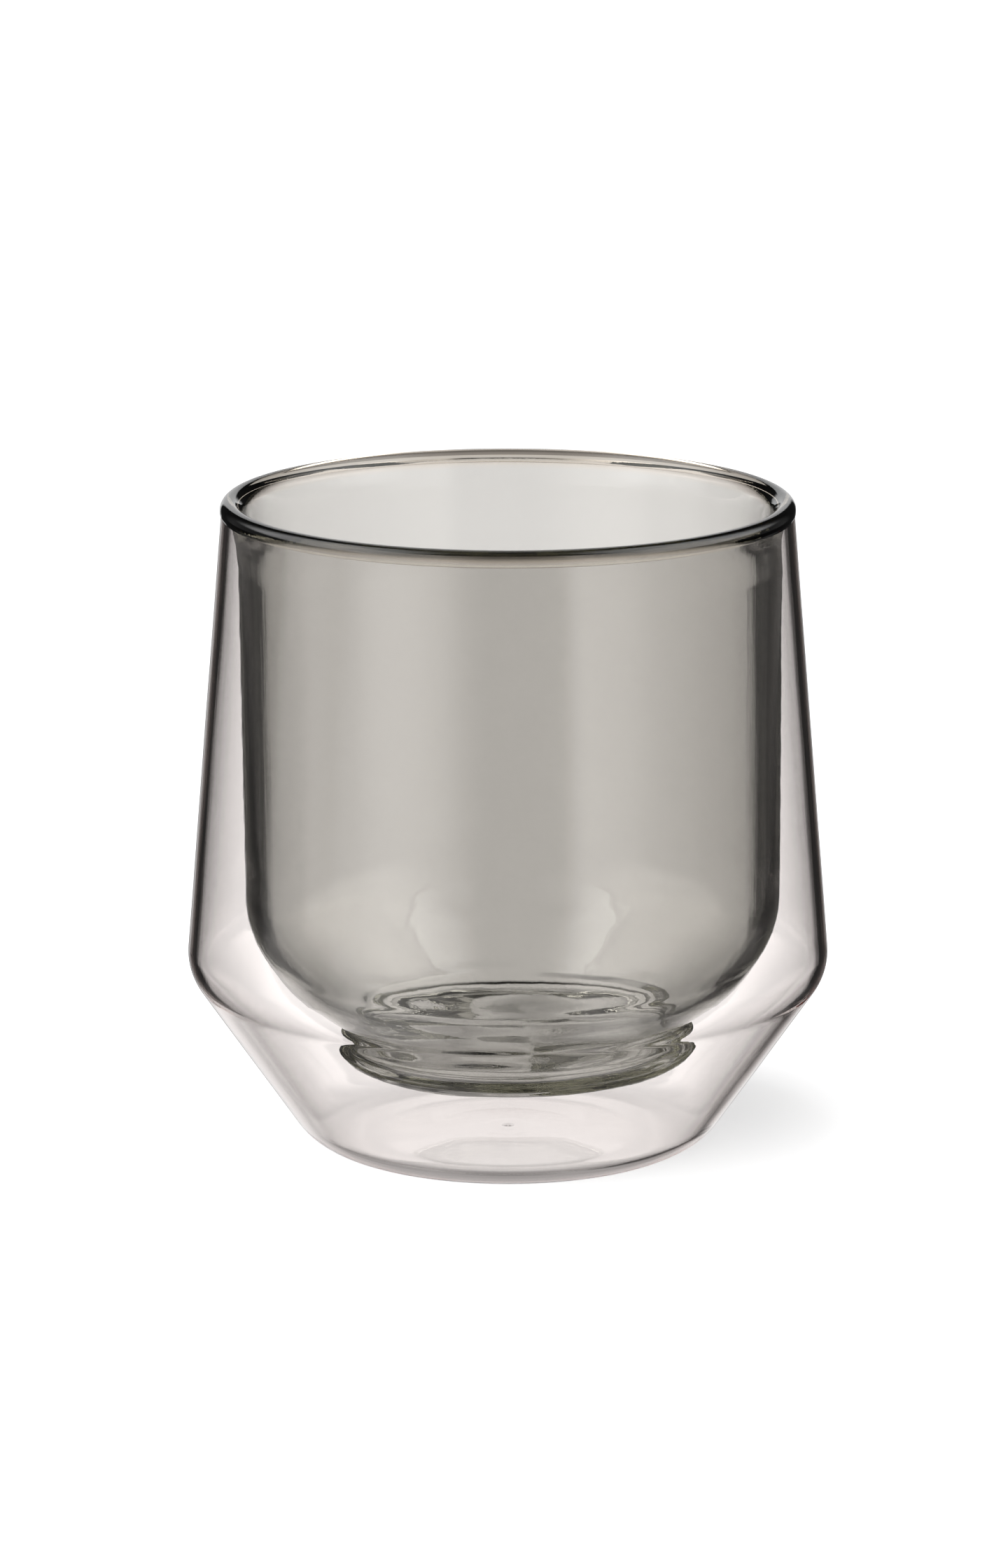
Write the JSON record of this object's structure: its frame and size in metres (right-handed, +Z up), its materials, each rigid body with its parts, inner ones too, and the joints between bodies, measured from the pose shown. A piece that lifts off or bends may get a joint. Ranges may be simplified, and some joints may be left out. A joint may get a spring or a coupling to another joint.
{
  "type": "double-walled glass tumbler",
  "caption": "Double-walled smoke glass tumbler with a tapered outer shell, coned base and straight inner cup fused at the rim.",
  "frame": {"origin": "centre of the base, on the plane it stands on", "axes": "+Z up along the tumbler's axis of revolution, +X and +Y free"},
  "size_m": [0.09, 0.09, 0.092],
  "materials": {
    "inner_glass": "clear smoke-grey borosilicate, polished",
    "outer_glass": "clear smoke-grey borosilicate, polished",
    "rim_glass": "fire-polished smoke-grey glass",
    "seal_glass": "fused smoke-grey glass gob"
  },
  "bodies": {
    "root": {"inner_cup": "inner_glass", "outer_shell": "outer_glass", "rim_bead": "rim_glass", "vent_seal": "seal_glass"}
  },
  "joints": []
}
